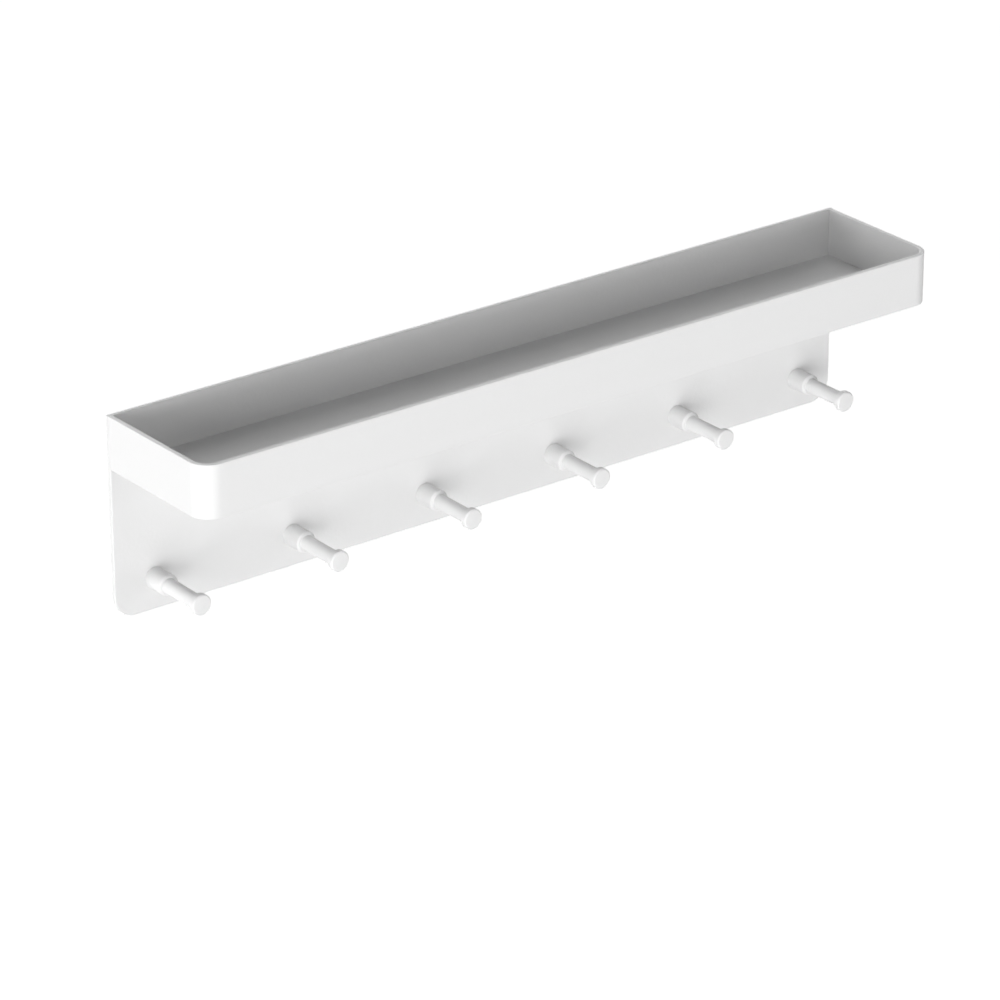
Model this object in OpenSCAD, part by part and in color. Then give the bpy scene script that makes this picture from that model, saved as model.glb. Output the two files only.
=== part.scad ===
// Wall key holder: a sheet steel back plate with a shallow tray along its top
// and a row of turned pegs below the tray. All lengths are in millimetres.
//
// X runs along the wall, Y points into the wall and Z points up.
// The origin is on the plate's back face, midway between the two wall screw holes.

/* [Back plate] */
// Length of the holder along the wall
holder_length = 265; // [220:1:400]
// Height of the back plate, from the tray's rim down
plate_height = 62.8; // [56:0.2:90]
// Thickness of the back plate's sheet
plate_thickness = 1.5; // [1.5:0.1:3]
// Radius of the plate's two lower corners
plate_corner_radius = 7; // [1:0.5:9]

/* [Tray] */
// Distance from the wall to the tray's front
tray_depth = 47.2; // [30:0.2:80]
// Height of the bent strip that makes the tray's front and sides
band_height = 16.3; // [10:0.1:22]
// Thickness of that strip
band_thickness = 1.5; // [1:0.1:2.5]
// Outer radius of the strip's two bends
band_bend_radius = 6.3; // [3.5:0.1:15]
// Thickness of the tray's floor sheet
floor_thickness = 1.5; // [1:0.1:3]
// Gap that the weld fills between the floor's edge and the strip
floor_weld_gap = 0.05; // [0.02:0.01:0.2]

/* [Wall screw holes] */
// Diameter of the two holes for the wall screws
wall_hole_diameter = 4.5; // [3:0.1:6]
// Distance from the tray's underside down to the wall screw holes
wall_hole_drop = 12.7; // [8:0.1:16]

/* [Pegs] */
// Distance from each end of the holder to the axis of its nearest peg
peg_end_margin = 13.5; // [10:0.5:30]
// Height of the pegs' axes above the plate's lower edge
peg_rise = 9.9; // [8:0.1:14]
// Reach of a peg from the plate's face to its tip
peg_reach = 23.8; // [18:0.1:40]
// Diameter of the collar that stands on the plate
collar_diameter = 6.5; // [5.6:0.1:10]
// Length of that collar
collar_length = 7.3; // [4:0.1:12]
// Chamfer on the collar's front edge
collar_chamfer = 0.5; // [0.1:0.05:0.5]
// Diameter of the stem that a key ring hangs on
stem_diameter = 4.5; // [4:0.1:4.6]
// Diameter of the head that keeps the ring on
head_diameter = 6.4; // [5.4:0.1:9]
// Length of the head's straight rim
head_rim_length = 1.5; // [0.6:0.1:3]
// Chamfer round the head's flat end
head_chamfer = 0.4; // [0.1:0.05:0.6]

/* [Peg screws] */
// Outer diameter of the thread on the screws that hold the pegs
screw_thread_diameter = 2.5; // [2.3:0.1:3]
// Length of a peg screw, its countersunk head included
screw_length = 6; // [4:0.5:8]
// Diameter of the screw's countersunk head
screw_head_diameter = 4.7; // [4:0.1:4.9]
// Height of the short straight rim on that head
screw_head_rim = 0.2; // [0.1:0.05:0.25]
// Distance that the head sits below the plate's back face
screw_head_sink = 0.05; // [0:0.01:0.1]
// Distance across the cross recess in the head
recess_span = 2.6; // [1.6:0.1:3]
// Width of each arm of the cross recess
recess_arm_width = 0.55; // [0.4:0.05:0.8]
// Depth of the cross recess
recess_depth = 0.9; // [0.5:0.1:1]
// Chamfer at the screw's tip
screw_tip_chamfer = 0.3; // [0.1:0.1:0.5]

/* [Fits] */
// Gap between the screw's thread and the tapped hole in the peg, on the radius
thread_gap = 0.02; // [0.01:0.01:0.05]
// Gap between the screw's shank and its hole in the plate, on the radius
shank_gap = 0.15; // [0.05:0.05:0.3]
// Gap between the screw's head and its countersink, on the radius
head_gap = 0.05; // [0.02:0.01:0.1]
// Depth left free below the screw's tip in the tapped hole
tap_end_gap = 0.7; // [0.3:0.1:1.5]
// Chamfer at the mouth of the tapped hole
tap_mouth_chamfer = 0.25; // [0.1:0.05:0.4]

/* [Hidden] */

$fn = 96;

// Distance that a cut runs past the face that it opens
overcut = 1;

// Number of pegs in the row
peg_count = 6;
peg_pitch = (holder_length - 2 * peg_end_margin) / (peg_count - 1);

// Heights, measured from the line of the wall screw holes
tray_bottom_z = wall_hole_drop;
rim_z = tray_bottom_z + band_height;
plate_bottom_z = rim_z - plate_height;
peg_z = plate_bottom_z + peg_rise;

// The wall screw holes lie midway between the outer two pegs of each end,
// where a screwdriver passes between the pegs
wall_hole_x = holder_length / 2 - peg_end_margin - peg_pitch / 2;

// The tray reaches this far in front of the plate's face
tray_reach = tray_depth - plate_thickness;

// Radii of the turned pieces
collar_radius = collar_diameter / 2;
stem_radius = stem_diameter / 2;
head_radius = head_diameter / 2;
thread_radius = screw_thread_diameter / 2;
screw_head_radius = screw_head_diameter / 2;
shank_hole_radius = thread_radius + shank_gap;
tap_radius = thread_radius + thread_gap;

// The head flares out of the stem in a quarter round, up to the rim's back edge
head_flare_radius = head_radius - stem_radius;
head_back = peg_reach - head_chamfer - head_rim_length;

// The tapped hole runs past the screw's tip and ends in the drill's point
drill_point_angle = 118;
tap_depth = screw_head_sink + screw_length - plate_thickness + tap_end_gap;
tap_point = tap_radius / tan(drill_point_angle / 2);

function peg_x(index) = (index - (peg_count + 1) / 2) * peg_pitch;

// A rectangle that hangs from the X axis, with its two lower corners rounded
module hanging_outline(width, height, radius) {
    translate([-width / 2, radius - height])
        square([width, height - radius]);
    translate([radius - width / 2, -height])
        square([width - 2 * radius, 2 * radius]);
    for (side = [-1, 1])
        translate([side * (width / 2 - radius), radius - height])
            circle(radius);
}

// Stands a shape drawn in X and Z up against the wall and gives it a thickness
module upright(thickness) {
    rotate([90, 0, 0])
        linear_extrude(thickness)
            children();
}

// Turns a profile around an axis that points away from the wall.
// The profile is drawn with its radius along X and its distance from the wall along Y.
module turned() {
    rotate([90, 0, 0])
        rotate_extrude()
            children();
}

// The countersunk hole that a peg screw passes through, drawn as a profile
module countersink_profile() {
    mouth_radius = screw_head_radius + head_gap;
    rim_depth = screw_head_sink + screw_head_rim;
    polygon([
        [0, -overcut],
        [mouth_radius, -overcut],
        [mouth_radius, rim_depth],
        [shank_hole_radius, rim_depth + mouth_radius - shank_hole_radius],
        [shank_hole_radius, plate_thickness + overcut],
        [0, plate_thickness + overcut],
    ]);
}

// The flat sheet that lies on the wall and carries the tray and the pegs
module back_plate() {
    color("WhiteSmoke")
    difference() {
        translate([0, 0, rim_z])
            upright(plate_thickness)
                hanging_outline(holder_length, plate_height, plate_corner_radius);
        for (side = [-1, 1])
            translate([side * wall_hole_x, overcut, 0])
                rotate([90, 0, 0])
                    cylinder(d = wall_hole_diameter, h = plate_thickness + 2 * overcut);
        for (index = [1 : peg_count])
            translate([peg_x(index), 0, peg_z])
                turned() countersink_profile();
    }
}

// The tray's outline, seen from above and moved in from its outer face by a distance
module tray_outline(inset) {
    translate([0, -plate_thickness])
        hanging_outline(
            holder_length - 2 * inset,
            tray_reach - inset,
            band_bend_radius - inset
        );
}

// The strip that is bent round the tray's two front corners and ends on the plate
module tray_band() {
    color("White")
    translate([0, 0, tray_bottom_z])
        linear_extrude(band_height)
            difference() {
                tray_outline(0);
                tray_outline(band_thickness);
                translate([band_thickness - holder_length / 2, -tray_reach / 2])
                    square([holder_length - 2 * band_thickness, tray_reach]);
            }
}

// The sheet that closes the tray's underside, flush with the strip's lower edge
module tray_floor() {
    color("Gainsboro")
    translate([0, 0, tray_bottom_z])
        linear_extrude(floor_thickness)
            tray_outline(band_thickness + floor_weld_gap);
}

// Half of a peg's section, from the face on the plate to the tip
module peg_profile() {
    difference() {
        union() {
            polygon([
                [0, 0],
                [collar_radius, 0],
                [collar_radius, collar_length - collar_chamfer],
                [collar_radius - collar_chamfer, collar_length],
                [0, collar_length],
            ]);
            square([stem_radius, head_back]);
            difference() {
                translate([0, head_back - head_flare_radius])
                    square([head_radius, head_flare_radius]);
                translate([head_radius, head_back - head_flare_radius])
                    circle(head_flare_radius);
            }
            polygon([
                [0, head_back],
                [head_radius, head_back],
                [head_radius, peg_reach - head_chamfer],
                [head_radius - head_chamfer, peg_reach],
                [0, peg_reach],
            ]);
        }
        polygon([
            [0, -overcut],
            [tap_radius + tap_mouth_chamfer, -overcut],
            [tap_radius + tap_mouth_chamfer, 0],
            [tap_radius, tap_mouth_chamfer],
            [tap_radius, tap_depth],
            [0, tap_depth + tap_point],
        ]);
    }
}

// A turned peg: a collar on the plate, a stem for the key ring and a flared head
module peg(index) {
    color("White")
    translate([peg_x(index), -plate_thickness, peg_z])
        turned() peg_profile();
}

// The cross recess in a screw's head: two arms that narrow towards the bottom
module cross_recess() {
    intersection() {
        rotate([90, 0, 0])
            cylinder(r1 = recess_span / 2, r2 = recess_arm_width / 2, h = recess_depth);
        union() {
            cube([recess_span, 2 * recess_depth, recess_arm_width], center = true);
            cube([recess_arm_width, 2 * recess_depth, recess_span], center = true);
        }
    }
}

// The countersunk screw that comes through the plate from behind and holds a peg
module peg_screw(index) {
    cone_bottom = screw_head_rim + screw_head_radius - thread_radius;
    color("Silver")
    translate([peg_x(index), -screw_head_sink, peg_z])
        difference() {
            turned()
                polygon([
                    [0, 0],
                    [screw_head_radius, 0],
                    [screw_head_radius, screw_head_rim],
                    [thread_radius, cone_bottom],
                    [thread_radius, screw_length - screw_tip_chamfer],
                    [thread_radius - screw_tip_chamfer, screw_length],
                    [0, screw_length],
                ]);
            cross_recess();
        }
}

back_plate();
tray_band();
tray_floor();
peg(1);  // peg_1
peg(2);  // peg_2
peg(3);  // peg_3
peg(4);  // peg_4
peg(5);  // peg_5
peg(6);  // peg_6
peg_screw(1);  // peg_screw_1
peg_screw(2);  // peg_screw_2
peg_screw(3);  // peg_screw_3
peg_screw(4);  // peg_screw_4
peg_screw(5);  // peg_screw_5
peg_screw(6);  // peg_screw_6
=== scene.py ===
# %% [markdown]
# A wall key holder in white powder coat.
#
# The holder is a flat steel plate that hangs on the wall. A strip, bent round two corners, and a
# floor sheet make a shallow tray along its top edge, and six turned pegs stand in a row below it.
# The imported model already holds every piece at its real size. This lesson makes a finely rounded
# mesh for each piece, coats it, lights it and puts a camera in front of it.

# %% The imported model, loaded as a fixed frame
from math import cos, pi, radians, sin, sqrt, tan

import bmesh
import bpy
from mathutils import Matrix, Vector


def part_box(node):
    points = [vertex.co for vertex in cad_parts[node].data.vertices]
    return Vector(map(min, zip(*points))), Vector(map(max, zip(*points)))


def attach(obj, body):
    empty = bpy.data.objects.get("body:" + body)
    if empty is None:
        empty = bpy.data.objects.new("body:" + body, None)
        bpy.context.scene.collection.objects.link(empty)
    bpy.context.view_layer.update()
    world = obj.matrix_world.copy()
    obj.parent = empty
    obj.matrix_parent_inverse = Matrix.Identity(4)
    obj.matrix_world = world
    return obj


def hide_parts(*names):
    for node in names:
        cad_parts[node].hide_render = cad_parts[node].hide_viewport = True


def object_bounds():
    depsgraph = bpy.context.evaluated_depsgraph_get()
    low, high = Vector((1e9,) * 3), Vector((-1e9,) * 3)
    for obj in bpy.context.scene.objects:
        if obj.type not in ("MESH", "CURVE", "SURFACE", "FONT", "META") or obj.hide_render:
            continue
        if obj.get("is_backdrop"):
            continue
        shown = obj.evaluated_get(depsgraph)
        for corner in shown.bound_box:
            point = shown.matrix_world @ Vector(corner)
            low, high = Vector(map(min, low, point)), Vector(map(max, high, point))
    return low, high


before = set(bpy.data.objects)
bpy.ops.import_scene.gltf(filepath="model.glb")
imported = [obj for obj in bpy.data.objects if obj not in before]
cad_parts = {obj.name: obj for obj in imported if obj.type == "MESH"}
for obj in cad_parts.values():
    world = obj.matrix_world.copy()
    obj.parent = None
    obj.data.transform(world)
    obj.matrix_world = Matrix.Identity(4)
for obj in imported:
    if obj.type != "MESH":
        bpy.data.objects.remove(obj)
packed_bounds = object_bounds()
print("nodes in the frame:", len(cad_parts))

# %% [markdown]
# Sizes first. The frame says where each piece lies, so lengths, heights and places are read from
# its boxes. What a box can't say, such as a bend's radius or a chamfer, is named here once. All
# values are metres, and MM keeps the small ones readable.

# %% Places that the frame gives
MM = 0.001

plate_low, plate_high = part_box("back_plate")
band_low, band_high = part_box("tray_band")
floor_low, floor_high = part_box("tray_floor")

half_length = plate_high.x
plate_thickness = plate_high.y - plate_low.y
plate_face_y = plate_low.y
rim_z = plate_high.z
tray_bottom_z = band_low.z
print("length %.1f mm, height %.1f mm, depth %.1f mm" % (
    2 * half_length / MM, (rim_z - plate_low.z) / MM, -band_low.y / MM))

# %% Sizes of the sheet metal
plate_corner_radius = 7 * MM
band_thickness = 1.5 * MM
band_bend_radius = 6.3 * MM
floor_thickness = floor_high.z - floor_low.z
wall_hole_radius = 2.25 * MM
wall_hole_x = 95.2 * MM

# A coated edge is never sharp: the coat draws back into a small round
edge_radius = 0.3 * MM
# Where two sheets are welded and coated together, only a hairline is left between them
seam_radius = 0.06 * MM
hole_edge_radius = 0.2 * MM
print("strip: %.1f mm sheet, bends of %.1f mm outside" % (band_thickness / MM, band_bend_radius / MM))

# %% [markdown]
# The camera stands where the photograph was taken from: to the left of the holder and above it,
# far away with a long lens, so that the long edges run almost parallel. It is set by the point that
# it looks at, its distance and two angles, and a very small roll levels the picture. All of these
# were worked out from the straight edges of the tray and the plate in the photograph.

# %% The camera
camera_aim = Vector((0, -6.7, -30.7)) * MM
camera_distance = 1.4946
camera_azimuth = radians(37.43)
camera_elevation = radians(24.1)
camera_roll = radians(-0.094)
camera_lens = 182

looking = Vector((
    sin(camera_azimuth) * cos(camera_elevation),
    cos(camera_azimuth) * cos(camera_elevation),
    -sin(camera_elevation),
))
camera = bpy.data.objects.new("camera", bpy.data.cameras.new("camera"))
bpy.context.scene.collection.objects.link(camera)
camera.data.lens = camera_lens
camera.location = camera_aim - looking * camera_distance
camera.rotation_mode = "QUATERNION"
roll = Matrix.Rotation(camera_roll, 3, "Z").to_quaternion()
camera.rotation_quaternion = looking.to_track_quat("-Z", "Y") @ roll
bpy.context.scene.camera = camera
print("camera at", [round(v, 3) for v in camera.location])

# %% [markdown]
# Materials are node trees. One small helper adds a node and fills its sockets, where a value is
# either a constant or another node's output. With it, each finish below reads as a recipe.

# %% A helper for node trees
def add_node(tree, kind, settings=None, **inputs):
    """Adds a node. Settings are its properties, and inputs are values or links for its sockets."""
    node = tree.nodes.new(kind)
    for name, value in (settings or {}).items():
        setattr(node, name, value)
    for name, value in inputs.items():
        socket = node.inputs[int(name[1:])] if name[0] == "_" else node.inputs[name.replace("_", " ")]
        if isinstance(value, bpy.types.NodeSocket):
            tree.links.new(value, socket)
        else:
            socket.default_value = value
    return node


def new_material(name):
    """An empty material, with its tree, its output and the place on the piece."""
    material = bpy.data.materials.new(name)
    material.use_nodes = True
    tree = material.node_tree
    tree.nodes.clear()
    output = tree.nodes.new("ShaderNodeOutputMaterial")
    place = tree.nodes.new("ShaderNodeTexCoord").outputs["Object"]
    return material, tree, output, place


def grey(tone):
    """A colour without a hue."""
    return (tone, tone, tone, 1)


def remap(tree, value, low, high):
    """Spreads a texture's grey value over a range."""
    return add_node(tree, "ShaderNodeMapRange", Value=value, To_Min=low, To_Max=high).outputs["Result"]


print("node helpers ready")

# %% [markdown]
# The world and the floor. The holder hangs about 1.6 m above a pale floor. Rays that come straight
# from the camera, and those that mirror or pass through something, find plain white. Only the soft
# light that falls on the holder is dimmer, so that its white coat keeps its shading.

# %% The world
ambient_strength = 0.02

world = bpy.data.worlds.new("studio")
bpy.context.scene.world = world
world.use_nodes = True
world.node_tree.nodes.clear()


def seen_directly(tree):
    """1 for camera, glossy and transmission rays, and 0 for the rays that light a surface."""
    path = tree.nodes.new("ShaderNodeLightPath").outputs
    either = add_node(tree, "ShaderNodeMath", {"operation": "MAXIMUM"},
                      _0=path["Is Camera Ray"], _1=path["Is Glossy Ray"])
    return add_node(tree, "ShaderNodeMath", {"operation": "MAXIMUM"},
                    _0=either.outputs[0], _1=path["Is Transmission Ray"]).outputs[0]


tree = world.node_tree
ambient = add_node(tree, "ShaderNodeBackground", Color=grey(1), Strength=ambient_strength)
white = add_node(tree, "ShaderNodeBackground", Color=grey(1), Strength=1)
sky = add_node(tree, "ShaderNodeMixShader",
               _0=seen_directly(tree), _1=ambient.outputs[0], _2=white.outputs[0])
tree.links.new(sky.outputs[0], tree.nodes.new("ShaderNodeOutputWorld").inputs["Surface"])
print("ambient strength", ambient_strength)

# %% The floor
floor_height = -1.6
floor_half_size = 15
floor_tone = 0.8
# The white that the camera sees is mostly light of the floor's own. Under the holder a small share
# is left to the shading, and far away there is none, so that no horizon shows
near_distance = 1.6
near_glow = 0.9
far_distance = 6
far_glow = 1
# The floor throws little light back up, because the holder's underside is only softly lit
bounce_tone = 0.2

floor_material, tree, output, place = new_material("pale_floor")
bounce = add_node(tree, "ShaderNodeBsdfDiffuse", Color=grey(bounce_tone))
shaded = add_node(tree, "ShaderNodeBsdfDiffuse", Color=grey(floor_tone))
distance = add_node(tree, "ShaderNodeVectorMath", {"operation": "LENGTH"}, _0=place)
share = add_node(
    tree, "ShaderNodeMapRange", Value=distance.outputs["Value"],
    From_Min=near_distance, From_Max=far_distance, To_Min=near_glow, To_Max=far_glow)
glow = add_node(tree, "ShaderNodeEmission", Color=grey(1), Strength=share.outputs["Result"])
pale = add_node(tree, "ShaderNodeAddShader", _0=shaded.outputs[0], _1=glow.outputs[0])
seen = add_node(tree, "ShaderNodeMixShader",
                _0=seen_directly(tree), _1=bounce.outputs[0], _2=pale.outputs[0])
tree.links.new(seen.outputs[0], output.inputs["Surface"])

floor_corners = [
    (x * floor_half_size, y * floor_half_size, floor_height)
    for x, y in ((-1, -1), (1, -1), (1, 1), (-1, 1))
]
floor_mesh = bpy.data.meshes.new("studio_floor")
floor_mesh.from_pydata(floor_corners, [], [range(4)])
studio_floor = bpy.data.objects.new("studio_floor", floor_mesh)
bpy.context.scene.collection.objects.link(studio_floor)
studio_floor.data.materials.append(floor_material)
studio_floor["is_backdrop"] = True
print("floor at %.2f m" % floor_height)

# %% [markdown]
# The light is plain and soft, and most of it comes from the left. Each softbox stands at the same
# distance from the holder, at an angle to the left or right of straight ahead and an angle up or
# down. Two on the left make the tray's left side the brightest face, and two in front fill the long
# faces. They stand level with the holder or a little lower, so the tray's inside stays dark. Three
# more stand behind the wall's plane: two on the right touch the rim and the inside, and the one on
# the left reaches the inside's right end. A weak one high in front draws the pegs' shadows downward.

# %% The softboxes
softbox_distance = 2.2
softbox_size = 1.2


def softbox(name, side_angle, height_angle, power):
    """A square lamp that faces the holder. Angles are in degrees, left and down negative."""
    side = radians(side_angle)
    height = radians(height_angle)
    way_out = Vector((sin(side) * cos(height), -cos(side) * cos(height), sin(height)))
    lamp = bpy.data.objects.new(name, bpy.data.lights.new(name, "AREA"))
    bpy.context.scene.collection.objects.link(lamp)
    lamp.data.size = softbox_size
    lamp.data.energy = power
    lamp.location = way_out * softbox_distance
    lamp.rotation_mode = "QUATERNION"
    lamp.rotation_quaternion = (-way_out).to_track_quat("-Z", "Y")
    lamp.visible_camera = False
    return lamp


softboxes = [
    softbox("far_left_softbox", -100, -10, 27),
    softbox("left_softbox", -60, 0, 21),
    softbox("front_left_softbox", -15, -10, 23.5),
    softbox("front_right_softbox", 20, 0, 14),
    softbox("high_front_softbox", 0, 45, 4.5),
    softbox("rear_softbox", 150, 30, 19),
    softbox("high_rear_softbox", 150, 60, 9),
    softbox("left_rear_softbox", -130, 20, 9.5),
]
print("softboxes:", [(lamp.name, lamp.data.energy) for lamp in softboxes])

# %% [markdown]
# Powder coat is a plastic skin, melted on in an oven. It is satin and almost white, and it has a
# faint orange peel: low swellings about a millimetre apart, with a finer grain on top. Its gloss
# drifts a little from place to place. All of that is noise, fed into the colour, the roughness and
# the bump of one shader. A picture of a coat would do too, but noise has no seams and stays fine
# however near the camera comes.

# %% The powder coat
coat_tone = 0.8
# The plate has the same coat as the tray, set a touch darker as painted shade for the light that the
# tray keeps off it. Compared with the tray's front, the plate looks a touch greyer than its shade
# alone explains
plate_tone_with_painted_shade = 0.78
coat_drift = 0.012
coat_specular = 0.3
sheet_roughness = (0.48, 0.6)
peg_roughness = (0.42, 0.5)
peel_height = 0.045 * MM


def powder_coat(name, tone, roughness_range, peel_height):
    """A white satin coat. Its tone drifts a little below the one given."""
    material, tree, output, place = new_material(name)
    drift = add_node(tree, "ShaderNodeTexNoise", Vector=place, Scale=22, Detail=3, Roughness=0.55)
    patch = add_node(tree, "ShaderNodeTexNoise", Vector=place, Scale=140, Detail=2, Roughness=0.5)
    peel = add_node(tree, "ShaderNodeTexNoise", Vector=place, Scale=850, Detail=2, Roughness=0.45)
    grain = add_node(tree, "ShaderNodeTexNoise", Vector=place, Scale=4200, Detail=1, Roughness=0.5)

    shade = add_node(
        tree, "ShaderNodeMix", {"data_type": "RGBA"},
        _0=drift.outputs["Fac"], _6=grey(tone - coat_drift), _7=grey(tone))
    roughness = remap(tree, patch.outputs["Fac"], *roughness_range)

    swellings = add_node(
        tree, "ShaderNodeBump", Strength=1, Distance=peel_height, Height=peel.outputs["Fac"])
    surface = add_node(
        tree, "ShaderNodeBump", Strength=1, Distance=peel_height / 6, Height=grain.outputs["Fac"],
        Normal=swellings.outputs[0])
    shader = add_node(
        tree, "ShaderNodeBsdfPrincipled", Base_Color=shade.outputs[2], Roughness=roughness,
        Normal=surface.outputs[0], Specular_IOR_Level=coat_specular)
    tree.links.new(shader.outputs[0], output.inputs["Surface"])
    return material


# The plate gets a darker copy of the tray's coat: painted shade, not a different finish
plate_coat_with_painted_shade = powder_coat("white_coat_with_painted_shade_on_plate", plate_tone_with_painted_shade, sheet_roughness, peel_height)
tray_coat = powder_coat("white_coat_on_tray", coat_tone, sheet_roughness, peel_height)
peg_coat = powder_coat("white_coat_on_pegs", coat_tone, peg_roughness, peel_height / 2)
print("coats:", plate_coat_with_painted_shade.name, tray_coat.name, peg_coat.name)

# %% [markdown]
# The screws are plated with bright zinc. It is a metal finish: the colour tints the mirror image,
# fine rings from the lathe stretch the highlights, and the plating's crystals make the gloss uneven.
# Without these small changes the heads would look like polished steel.

# %% The zinc plate
zinc_bluish = (0.60, 0.61, 0.64, 1)
zinc_warm = (0.72, 0.72, 0.70, 1)
zinc_roughness = (0.22, 0.42)
ring_height = 0.0015 * MM
crystal_height = 0.002 * MM


def zinc_plate(name):
    """Bright zinc on turned steel, with rings round the screw's own axis."""
    material, tree, output, place = new_material(name)
    crystals = add_node(tree, "ShaderNodeTexVoronoi", Vector=place, Scale=5200)
    cloud = add_node(tree, "ShaderNodeTexNoise", Vector=place, Scale=900, Detail=3)
    rings = add_node(tree, "ShaderNodeTexWave", {"wave_type": "RINGS", "rings_direction": "Y"},
                     Vector=place, Scale=2600, Distortion=0.6, Detail=1)
    colour = add_node(
        tree, "ShaderNodeMix", {"data_type": "RGBA"},
        _0=cloud.outputs["Fac"], _6=zinc_bluish, _7=zinc_warm)
    turned = add_node(
        tree, "ShaderNodeBump", Strength=1, Distance=ring_height, Height=rings.outputs["Fac"])
    surface = add_node(
        tree, "ShaderNodeBump", Strength=1, Distance=crystal_height,
        Height=crystals.outputs["Distance"], Normal=turned.outputs[0])
    shader = add_node(
        tree, "ShaderNodeBsdfPrincipled", Base_Color=colour.outputs[2], Metallic=1,
        Roughness=remap(tree, cloud.outputs["Fac"], *zinc_roughness), Normal=surface.outputs[0])
    tree.links.new(shader.outputs[0], output.inputs["Surface"])
    return material


screw_zinc = zinc_plate("bright_zinc")
print("metal:", screw_zinc.name)

# %% [markdown]
# Every piece of this holder can be built from rings: closed rows of points, each joined to the next
# by a band of four-sided faces. For a sheet the rings follow its outline, for the bent strip they
# are its cross section, and for a turned piece they are circles. So four short helpers do most of
# the work: one makes a ring, one joins two, one closes a flat face, and one turns the result into
# a finished object. Boxes and cylinders cut with booleans would give the same shapes, but rings put
# every face where it is wanted, and so each rounding is shaded cleanly.

# %% Rings and the faces between them
def add_ring(mesh, points):
    return [mesh.verts.new(point) for point in points]


def join_rings(mesh, first, second):
    """A band of faces between two closed rings with as many points each."""
    for i in range(len(first)):
        j = (i + 1) % len(first)
        mesh.faces.new((first[i], first[j], second[j], second[i]))


def join_all(mesh, rings):
    for first, second in zip(rings, rings[1:]):
        join_rings(mesh, first, second)


def close_flat(mesh, rings):
    """Fills the flat face that one outer ring and any holes in it bound."""
    edges = [mesh.edges.get((ring[i - 1], ring[i])) for ring in rings for i in range(len(ring))]
    bmesh.ops.triangle_fill(mesh, edges=edges, use_beauty=True)


def close_point(mesh, ring, point):
    """A fan of faces from a ring to one point."""
    tip = mesh.verts.new(point)
    for i in range(len(ring)):
        mesh.faces.new((ring[i - 1], ring[i], tip))


print("ring helpers ready")

# %% From a mesh to a finished piece
# Edges that turn by more than this stay crisp, and all softer ones are shaded round
crisp_angle = radians(35)


def finished_piece(name, mesh, material, node, place=(0, 0, 0)):
    """Puts a mesh into the scene in place of its node, coats it and lets it ride on the holder."""
    bmesh.ops.recalc_face_normals(mesh, faces=mesh.faces)
    for face in mesh.faces:
        face.smooth = True
    data = bpy.data.meshes.new(name)
    mesh.to_mesh(data)
    mesh.free()
    data.set_sharp_from_angle(angle=crisp_angle)
    data.materials.append(material)
    piece = bpy.data.objects.new(name, data)
    piece.location = place
    bpy.context.scene.collection.objects.link(piece)
    weighted = piece.modifiers.new("flat_faces_stay_flat", "WEIGHTED_NORMAL")
    weighted.keep_sharp = True
    weighted.weight = 100
    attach(piece, "root")
    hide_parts(node)
    print("%s: %d faces" % (name, len(data.polygons)))
    return piece


print("edges stay crisp from %.2f radians on" % crisp_angle)

# %% [markdown]
# A sheet's outline is drawn flat, with lines and arcs, and with the metal always on the left of the
# way round. Moving every side of it to the left by a small distance gives the same outline further
# in. A rounded edge is then a few copies of the outline: moved in at the back face, out again over
# a quarter circle, straight through the thickness, and in once more at the front face. A bevel
# modifier could round the edge too, but here every point may have a radius of its own.

# %% Outlines and rounded edges
def arc(centre, radius, start, stop, steps):
    """Points on part of a circle, with its angles in degrees."""
    angles = [radians(start + (stop - start) * i / steps) for i in range(steps + 1)]
    return [Vector((centre[0] + radius * cos(a), centre[1] + radius * sin(a))) for a in angles]


def moved_in(loop, distances):
    """The closed loop with each corner moved to its left, by a distance of its own."""
    moved = []
    for i, corner in enumerate(loop):
        before = (corner - loop[i - 1]).normalized()
        after = (loop[(i + 1) % len(loop)] - corner).normalized()
        left_before = Vector((-before.y, before.x))
        left_after = Vector((-after.y, after.x))
        middle = (left_before + left_after).normalized()
        moved.append(corner + middle * (distances[i] / middle.dot(left_before)))
    return moved


edge_steps = 5
# A narrow flat strip beside each rounding keeps the shading of the large flat face clean
flat_border = 0.2 * MM


def rounded_edge(loop, thickness, back_radius, front_radius):
    """Copies of a loop over a rounded edge, each with its depth. Each point has a radius of its own."""
    quarter = [radians(90 * i / edge_steps) for i in range(edge_steps + 1)]
    copies = [([0] * len(loop), [r + flat_border for r in back_radius])]
    for turn in quarter:
        depth = [r * (1 - cos(turn)) for r in back_radius]
        copies.append((depth, [r * (1 - sin(turn)) for r in back_radius]))
    for turn in reversed(quarter):
        depth = [thickness - r * (1 - cos(turn)) for r in front_radius]
        copies.append((depth, [r * (1 - sin(turn)) for r in front_radius]))
    copies.append(([thickness] * len(loop), [r + flat_border for r in front_radius]))
    return [(moved_in(loop, inset), depth) for depth, inset in copies]


def sheet_mesh(edges, put):
    """A flat sheet. Each edge is a list of loop copies with depths, and put sets a point in the room."""
    mesh = bmesh.new()
    backs, fronts = [], []
    for copies in edges:
        rings = [add_ring(mesh, [put(p, d) for p, d in zip(loop, depth)]) for loop, depth in copies]
        join_all(mesh, rings)
        backs.append(rings[0])
        fronts.append(rings[-1])
    close_flat(mesh, backs)
    close_flat(mesh, fronts)
    return mesh


print("a rounded edge has %d copies of its outline" % (2 * (edge_steps + 2)))

# %% [markdown]
# The back plate is laser cut from 1.5 mm sheet: square at the top, where the tray's rim runs, and
# round at its two lower corners. Its edges are rounded by the coat, but not where the tray's strip
# is welded on, because there the two are ground flush and only a hairline shows. It has two plain
# holes for the wall screws, hidden under the tray, and six countersunk ones behind the pegs. Each
# hole is one more closed outline, so the sheet helper makes the plate with its holes in one go.

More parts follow.
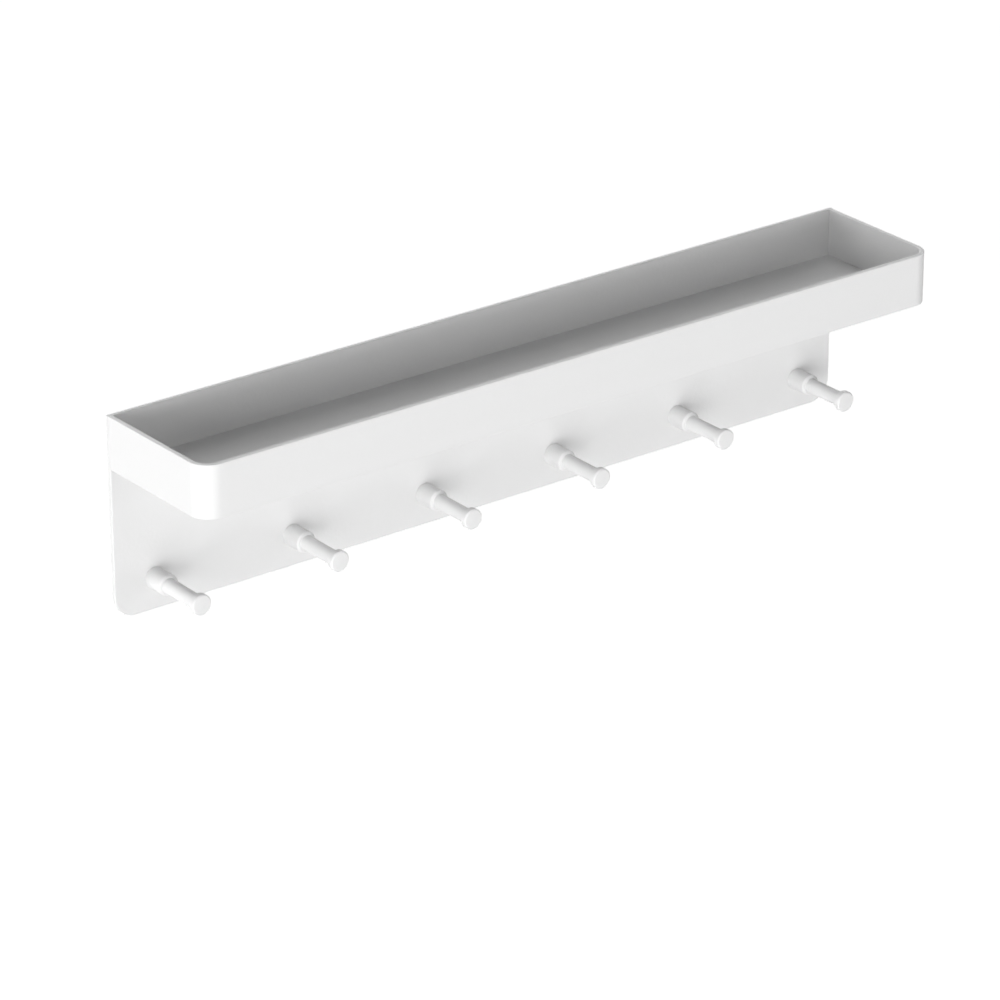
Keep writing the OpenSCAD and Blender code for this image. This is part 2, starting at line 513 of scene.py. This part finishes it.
# %% The outline of the back plate
def welded_to_band(point):
    """True where the ends of the tray's strip meet the plate."""
    return abs(point.x) > half_length - band_thickness - seam_radius and point.y > tray_bottom_z


seam_step = 0.3 * MM
inner_end = half_length - band_thickness
corner_x = half_length - plate_corner_radius
corner_z = plate_low.z + plate_corner_radius

side_heights = (tray_bottom_z - seam_step, tray_bottom_z + seam_step, rim_z)
right_side = [Vector((half_length, z)) for z in side_heights]
top_side = [Vector((x, rim_z)) for x in (inner_end + seam_step / 2, inner_end - seam_step / 2)]
half_outline = right_side + top_side
plate_outline = (
    arc((corner_x, corner_z), plate_corner_radius, -90, 0, 20)
    + half_outline
    + [Vector((-p.x, p.y)) for p in reversed(half_outline)]
    + arc((-corner_x, corner_z), plate_corner_radius, 180, 270, 20)
)
print("plate outline: %d points" % len(plate_outline))

# %% Its holes
peg_places = [sum(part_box("peg_%d" % (i + 1)), Vector()) / 2 for i in range(6)]

countersink_radius = 2.4 * MM
countersink_rim = 0.25 * MM
shank_hole_radius = 1.4 * MM
countersink_lip = 0.08 * MM


def hole_loop(x, z, radius, steps=64):
    """A round hole, drawn clockwise, so that the metal is on its left."""
    return arc((x, z), radius, 360, 0, steps)[:-1]


def wall_hole(x):
    loop = hole_loop(x, 0, wall_hole_radius)
    radii = [hole_edge_radius] * len(loop)
    return rounded_edge(loop, plate_thickness, radii, radii)


def countersunk_hole(x, z):
    """From the back: a small broken lip, the straight rim, the cone and the shank's hole."""
    loop = hole_loop(x, z, shank_hole_radius)
    cone = countersink_radius - shank_hole_radius
    steps = [
        (0, cone + countersink_lip + flat_border),
        (0, cone + countersink_lip),
        (countersink_lip, cone),
        (countersink_rim, cone),
        (countersink_rim + cone, 0),
        (plate_thickness, 0),
    ]
    return [(moved_in(loop, [out] * len(loop)), [depth] * len(loop)) for depth, out in steps]


print("countersunk holes at x =", [round(place.x / MM, 1) for place in peg_places])

# %% The back plate
back_radii = [edge_radius] * len(plate_outline)
front_radii = [seam_radius if welded_to_band(p) else edge_radius for p in plate_outline]
plate_edges = [rounded_edge(plate_outline, plate_thickness, back_radii, front_radii)]
plate_edges += [wall_hole(side * wall_hole_x) for side in (-1, 1)]
plate_edges += [countersunk_hole(place.x, place.z) for place in peg_places]

finished_piece(
    "coated_plate",
    sheet_mesh(plate_edges, lambda p, depth: (p.x, -depth, p.y)),
    plate_coat_with_painted_shade, "back_plate")

# %% [markdown]
# The tray's strip is bent on a press brake, so its thickness is the same all the way and its inner
# bends have a smaller radius than its outer ones. It is built as a sweep: one cross section, a slim
# rectangle with rounded corners, is set up at each station along the way and joined to the next.
# Straight stretches need a station only at their ends, and each bend gets seventeen. An outline
# pulled upward would give the strip as well, but without the round along its rim.

# %% The strip's cross section
def soften(points, radii, steps=4, closed=False):
    """Rounds the corners of a line of points, each with a radius of its own."""
    softened = []
    for i, corner in enumerate(points):
        if radii[i] == 0 or (not closed and i in (0, len(points) - 1)):
            softened.append(Vector(corner))
            continue
        corner = Vector(corner)
        to_before = (Vector(points[i - 1]) - corner).normalized()
        to_after = (Vector(points[(i + 1) % len(points)]) - corner).normalized()
        half_angle = to_before.angle(to_after) / 2
        centre = corner + (to_before + to_after).normalized() * (radii[i] / sin(half_angle))
        reach = radii[i] / tan(half_angle)
        start = (corner + to_before * reach - centre).normalized()
        stop = (corner + to_after * reach - centre).normalized()
        softened += [centre + start.slerp(stop, k / steps) * radii[i] for k in range(steps + 1)]
    return softened


band_height = band_high.z - band_low.z
band_section = soften(
    [(0, 0), (0, band_height), (-band_thickness, band_height), (-band_thickness, 0)],
    [edge_radius, edge_radius, edge_radius, seam_radius], steps=edge_steps, closed=True)
print("cross section: %d points" % len(band_section))

# %% The stations along the strip
bend_steps = 16
bend_x = half_length - band_bend_radius
bend_y = band_low.y + band_bend_radius


def bend_stations(side):
    """Stations round one front corner, as a point on the outer face and the way out from it."""
    centre = Vector((side * bend_x, bend_y))
    angles = [radians(90 * i / bend_steps) for i in range(bend_steps + 1)]
    outs = [Vector((side * cos(a), -sin(a))) for a in angles]
    return [(centre + out * band_bend_radius, out) for out in outs]


left_end = (Vector((-half_length, plate_face_y)), Vector((-1, 0)))
right_end = (Vector((half_length, plate_face_y)), Vector((1, 0)))
into_tray = Vector((0, -seam_radius))
stations = (
    [(left_end[0] + into_tray, left_end[1])]
    + bend_stations(-1)
    + list(reversed(bend_stations(1)))
    + [(right_end[0] + into_tray, right_end[1])]
)
print("stations:", len(stations))


# %% The tray's strip
def band_ring(mesh, station, section):
    """The cross section, stood up at one station."""
    point, out = station
    points = [
        (point.x + out.x * p.x, point.y + out.y * p.x, tray_bottom_z + p.y)
        for p in section
    ]
    return add_ring(mesh, points)


end_section = moved_in(band_section, [seam_radius] * len(band_section))
mesh = bmesh.new()
rings = [band_ring(mesh, left_end, end_section)]
rings += [band_ring(mesh, station, band_section) for station in stations]
rings += [band_ring(mesh, right_end, end_section)]
join_all(mesh, rings)
mesh.faces.new(rings[0])
mesh.faces.new(rings[-1])
finished_piece("coated_strip", mesh, tray_coat, "tray_band")

# %% [markdown]
# The tray's floor is one flat sheet that fits inside the strip, level with its lower edge, and is
# welded in from below. It uses the same sheet helper as the plate, laid on its back.

# %% The tray's floor
floor_gap = 0.05 * MM
floor_inset = band_thickness + floor_gap
floor_corner = band_bend_radius - floor_inset
side_x = half_length - floor_inset

floor_outline = (
    [Vector((side_x, plate_face_y)), Vector((-side_x, plate_face_y))]
    + arc((-bend_x, bend_y), floor_corner, 180, 270, bend_steps)
    + arc((bend_x, bend_y), floor_corner, 270, 360, bend_steps)
)
floor_radii = [seam_radius] * len(floor_outline)
finished_piece(
    "coated_floor",
    sheet_mesh([rounded_edge(floor_outline, floor_thickness, floor_radii, floor_radii)],
               lambda p, depth: (p.x, p.y, tray_bottom_z + depth)),
    tray_coat, "tray_floor")

# %% [markdown]
# A thread is a groove that climbs round the screw by one pitch a turn. On a turned piece it takes
# no more than a rule that says, for each height and angle, how far the surface lies below the
# crest. The tapped hole in the peg follows the same rule, so screw and hole mesh without touching.
# A bump would be lighter, but it leaves the outline of the thread smooth.

# %% The thread's rule
thread_radius = 1.25 * MM
# The crests stay a hair below the full radius, so that the thread clears its hole
crest_clearance = 0.02 * MM
thread_pitch = 0.45 * MM
thread_depth = 0.27 * MM
crest_share = 0.16
root_share = 0.24


def thread_groove(from_wall, angle):
    """How far the surface lies under the thread's crest, at a distance from the wall and an angle."""
    phase = (from_wall / thread_pitch - angle / (2 * pi)) % 1
    slope = (abs(2 * phase - 1) - crest_share) / (1 - crest_share - root_share)
    return thread_depth * min(1, max(0, slope))


def spread(start, stop, spacing):
    """Even steps from one value to another, no wider than the spacing."""
    count = int(abs(stop - start) / spacing) + 1
    return [start + (stop - start) * i / count for i in range(count + 1)]


thread_spacing = thread_pitch / 8
print("thread: %.2f mm pitch" % (thread_pitch / MM))

# %% [markdown]
# Turned pieces come from a lathe, and so do these meshes. A profile of radius and reach is swung
# round an axis that points out of the wall. Where the profile touches the axis, its ring shrinks
# to a single point. A screw modifier turns a profile too, but it can't change the radius on the way
# round, which the thread needs.

# %% The lathe
turned_steps = 72


def turned_mesh(profile, groove=None):
    """Turns a profile of (radius, reach) points, with a groove rule for the points that have one."""
    mesh = bmesh.new()
    rings = []
    tips = []
    for index, (radius, reach, *threaded) in enumerate(profile):
        if radius == 0:
            tips.append((index, (0, -reach, 0)))
            continue
        points = []
        for i in range(turned_steps):
            angle = 2 * pi * i / turned_steps
            cut = groove(reach, angle) * threaded[0] if threaded else 0
            points.append(((radius - cut) * cos(angle), -reach, (radius - cut) * sin(angle)))
        rings.append(add_ring(mesh, points))
    join_all(mesh, rings)
    for index, point in tips:
        close_point(mesh, rings[0] if index == 0 else rings[-1], point)
    return mesh, rings


print("turned pieces have %d steps round" % turned_steps)

# %% [markdown]
# Each peg is turned from one steel bar. A thick collar stands on the plate, a thin stem carries what
# hangs from it, and a flared head keeps that from slipping off. The chamfers on the collar and the
# head are real cuts, and the coat rounds their edges again. Inside is the tapped hole that its screw
# goes into. The whole outside and the hole are one profile, so a peg is one closed mesh.

# %% The profile of a peg
collar_radius = 3.25 * MM
collar_length = 7.3 * MM
collar_chamfer = 0.5 * MM
stem_radius = 2.25 * MM
head_radius = 3.2 * MM
head_rim = 1.5 * MM
head_chamfer = 0.4 * MM
peg_reach = plate_face_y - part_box("peg_1")[0].y
tap_radius = 1.27 * MM
tap_depth = 5.25 * MM
drill_point_angle = 118
tap_point = tap_radius / tan(radians(drill_point_angle / 2))
tap_chamfer = 0.25 * MM
coat_round = 0.12 * MM
coat_fillet = 0.25 * MM

head_back = peg_reach - head_chamfer - head_rim
flare = head_radius - stem_radius
flare_arc = arc((head_radius, head_back - flare), flare, 180, 90, 8)
print("peg reach %.1f mm" % (peg_reach / MM))


def peg_profile():
    """From the bottom of the tapped hole, out over its mouth and along the peg to the tip."""
    hole = [(0, tap_depth + tap_point), (tap_radius, tap_depth)]
    thread_reaches = spread(tap_depth - thread_pitch, tap_chamfer, thread_spacing)
    thread = [(tap_radius, reach, 1) for reach in thread_reaches]
    foot = [
        (tap_radius + tap_chamfer, 0),
        (collar_radius - seam_radius, 0),
        (collar_radius, seam_radius),
    ]
    collar = soften(
        [
            (collar_radius, seam_radius),
            (collar_radius, collar_length - collar_chamfer),
            (collar_radius - collar_chamfer, collar_length),
            (stem_radius, collar_length),
            (stem_radius, head_back - flare),
        ],
        [0, coat_round, coat_round, coat_fillet, 0])[1:]
    head = soften(
        [
            (head_radius, head_back),
            (head_radius, peg_reach - head_chamfer),
            (head_radius - head_chamfer, peg_reach),
            (0, peg_reach),
        ],
        [0, coat_round, coat_round, 0])
    outside = collar + flare_arc[1:] + head[1:]
    return hole + thread + foot + [tuple(p) for p in outside]


# %% The six pegs
def hole_groove(reach, angle):
    """The tapped hole's thread stands in from its wall by as much as the screw's groove goes in."""
    return thread_groove(reach + plate_thickness, angle)


for index, place in enumerate(peg_places, start=1):
    mesh = turned_mesh(peg_profile(), hole_groove)[0]
    finished_piece(
        "coated_peg_%d" % index, mesh, peg_coat, "peg_%d" % index,
        place=(place.x, plate_face_y, place.z))

# %% [markdown]
# A countersunk screw holds each peg from behind, with its head just below the plate's back face.
# The body is turned like the peg. The cross recess is a hole with sloping ends: the outline of a
# cross, repeated at growing depth with shorter arms, and closed at the bottom by a point. That way
# no boolean is needed, and the screw stays one closed mesh.

# %% The screw's sizes
screw_sink = 0.05 * MM
screw_length = 6 * MM
screw_head_radius = 2.35 * MM
screw_head_rim = 0.2 * MM
screw_tip_chamfer = 0.3 * MM
recess_reach = 1.3 * MM
recess_arm = 0.275 * MM
recess_depth = 0.9 * MM
# The sloping walls end a little above the bottom, and a flat point closes the rest
recess_wall_depth = 0.81 * MM
recess_bottom_reach = 0.5 * MM
screw_edge = 0.05 * MM
cone_end = screw_head_rim + screw_head_radius - thread_radius


def cross_outline(reach, arm):
    """The outline of a cross, clockwise, with arms whose ends lie on a circle."""
    side = sqrt(reach * reach - arm * arm)
    one_arm = [Vector((side, arm)), Vector((reach, 0)), Vector((side, -arm)), Vector((arm, -arm))]
    quarter_turns = [Matrix.Rotation(radians(-90 * k), 2) for k in range(4)]
    return [turn @ p for turn in quarter_turns for p in one_arm]


print("screw: %d mm long" % (screw_length / MM))


# %% The six screws
def screw_mesh():
    """The turned body, its flat head and the cross recess in it."""
    thread_reaches = spread(screw_length - screw_tip_chamfer, cone_end + thread_pitch, thread_spacing)
    crest_radius = thread_radius - crest_clearance
    profile = [(0, screw_length), (thread_radius - screw_tip_chamfer, screw_length)]
    profile += [(crest_radius, reach, 1) for reach in thread_reaches]
    profile += [
        (thread_radius, cone_end),
        (screw_head_radius, screw_head_rim),
        (screw_head_radius, screw_edge),
        (screw_head_radius - screw_edge, 0),
    ]
    mesh, rings = turned_mesh(profile, lambda reach, angle: thread_groove(reach + screw_sink, angle))

    depths = spread(0, recess_wall_depth, recess_depth / 4)
    slope = (recess_reach - recess_bottom_reach) / recess_wall_depth
    recess = []
    for depth in depths:
        outline = cross_outline(recess_reach - slope * depth, recess_arm)
        recess.append(add_ring(mesh, [(p.x, -depth, p.y) for p in outline]))
    join_all(mesh, recess)
    close_point(mesh, recess[-1], (0, -recess_depth, 0))
    close_flat(mesh, [rings[-1], recess[0]])
    return mesh


for index, place in enumerate(peg_places, start=1):
    finished_piece(
        "zinc_screw_%d" % index, screw_mesh(), screw_zinc, "peg_screw_%d" % index,
        place=(place.x, -screw_sink, place.z))

# %% [markdown]
# Colours are shown as they are written, with no film look. Last, the size of the dressed holder is
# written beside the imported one, so that the two can be compared.

# %% The view and the sizes
bpy.context.scene.view_settings.view_transform = "Standard"

sizes = {
    "packed": [list(corner) for corner in packed_bounds],
    "dressed": [list(corner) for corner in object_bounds()],
}
for name, (low, high) in sizes.items():
    print(name, "size in mm:", [round((b - a) / MM, 2) for a, b in zip(low, high)])
